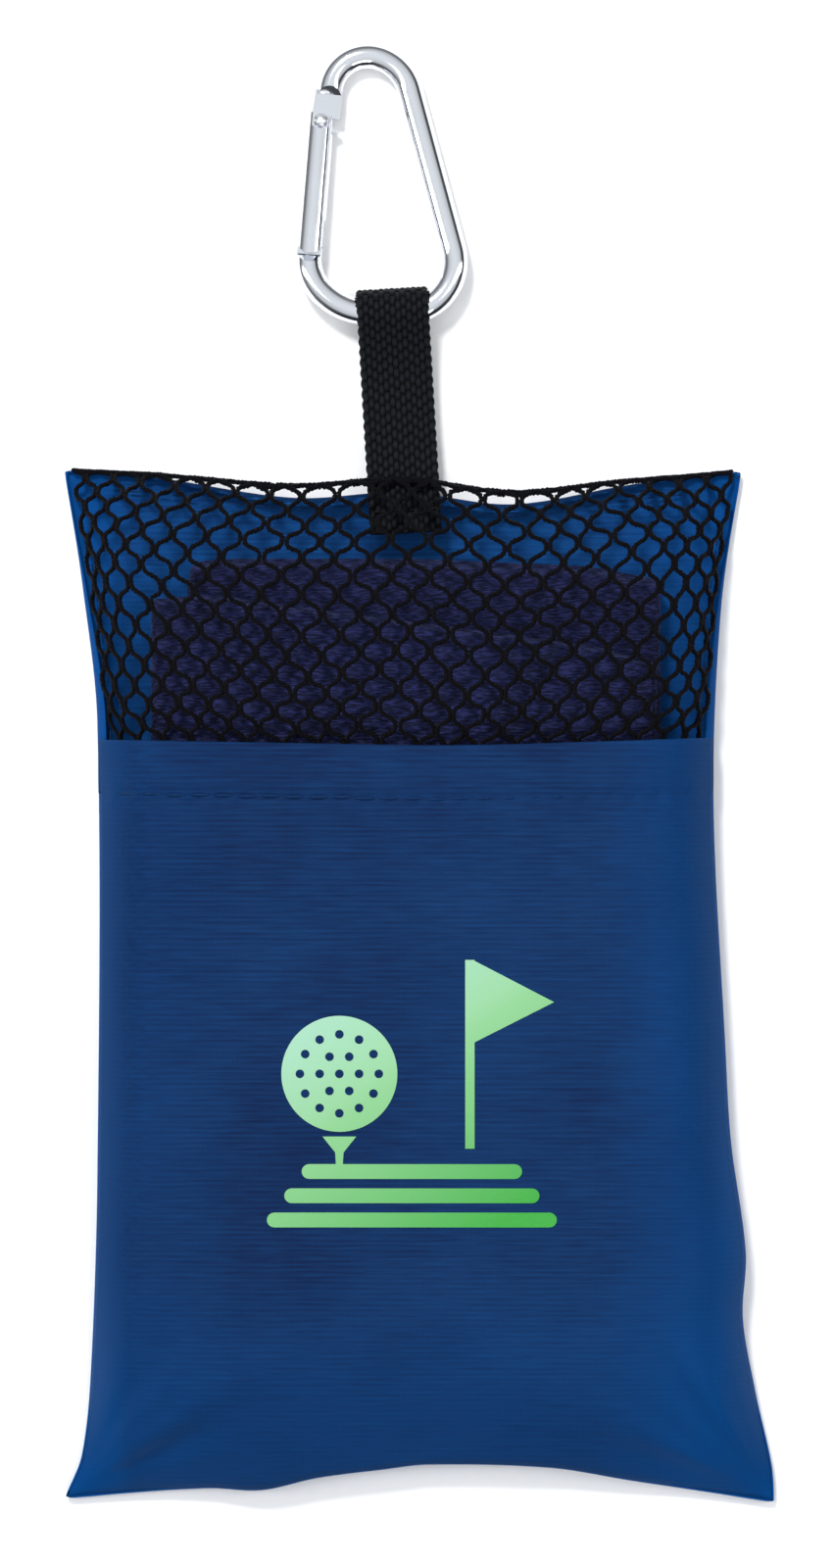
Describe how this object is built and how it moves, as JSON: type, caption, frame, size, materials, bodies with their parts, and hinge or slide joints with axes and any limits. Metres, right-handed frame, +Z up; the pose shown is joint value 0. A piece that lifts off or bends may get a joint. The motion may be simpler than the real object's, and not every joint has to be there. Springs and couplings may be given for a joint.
{
  "type": "golf towel",
  "caption": "Golf towel folded into a flat fabric pouch with a net window, a webbing loop and a spring-gate snap hook.",
  "frame": {"origin": "below the middle of the whole object, on the surface it lies on", "axes": "+X across the pouch, +Y from the closed end towards the snap hook, +Z up from the surface"},
  "size_m": [0.1508, 0.3146, 0.0218],
  "materials": {
    "pouch_cloth": "woven polyester, slight sheen",
    "net": "knitted mesh, matte",
    "towel_cloth": "knitted microfibre, matte",
    "webbing": "woven polypropylene, soft sheen",
    "thread_blue": "twisted polyester thread",
    "thread_black": "twisted polyester thread",
    "hook_metal": "polished",
    "pin_metal": "riveted, satin",
    "spring_steel": "drawn wire",
    "print_ink": "transfer print, slight gloss"
  },
  "bodies": {
    "pouch": {"back_panel": "pouch_cloth", "front_panel": "pouch_cloth", "mesh_panel": "net", "hem_stitching": "thread_blue", "left_seam_stitching": "thread_blue", "right_seam_stitching": "thread_blue", "closed_end_stitching": "thread_blue", "hook_end_stitching": "thread_blue", "webbing_tail": "webbing", "strap_stitching": "thread_black", "printed_emblem": "print_ink"},
    "towel": {"towel": "towel_cloth"},
    "strap": {"webbing_strap": "webbing"},
    "hook": {"carabiner_body": "hook_metal"},
    "gate": {"gate": "hook_metal", "hinge_pin": "pin_metal", "latch_rivet": "pin_metal", "gate_spring": "spring_steel"},
    "plunger": {"spring_plunger": "pin_metal"}
  },
  "joints": [
    {"name": "towel_lift", "type": "slide", "parent": "pouch", "child": "towel", "axis": [0, 0.5, 0.866], "range_m": [0, 0.2], "deforming": ["front_panel", "mesh_panel", "hem_stitching", "printed_emblem"]},
    {"name": "strap_swing", "type": "hinge", "parent": "pouch", "child": "strap", "pos_m": [-0.0035, 0.0622, 0.0054], "axis": [0.9982, 0.0593, 0], "range_deg": [0, 100]},
    {"name": "hook_swing", "type": "hinge", "parent": "strap", "child": "hook", "pos_m": [-0.00568, 0.09884, 0.0055], "axis": [0.9982, 0.0593, 0], "range_deg": [0, 90]},
    {"name": "gate_swing", "type": "hinge", "parent": "hook", "child": "gate", "pos_m": [-0.02347, 0.11441, 0.00476], "axis": [0, -0.0473, -0.9989], "range_deg": [0, 30], "stiffness_Nm_per_rad": 0.03, "springref_deg": -20.05, "deforming": ["gate_spring"]},
    {"name": "plunger_slide", "type": "slide", "parent": "gate", "child": "plunger", "axis": [0.0811, 0.9956, -0.0472], "range_m": [0, 0.0006]}
  ],
  "couplings": [
    {"joint": "plunger_slide", "follows": "gate_swing", "m_per_rad": 0.00095493}
  ]
}
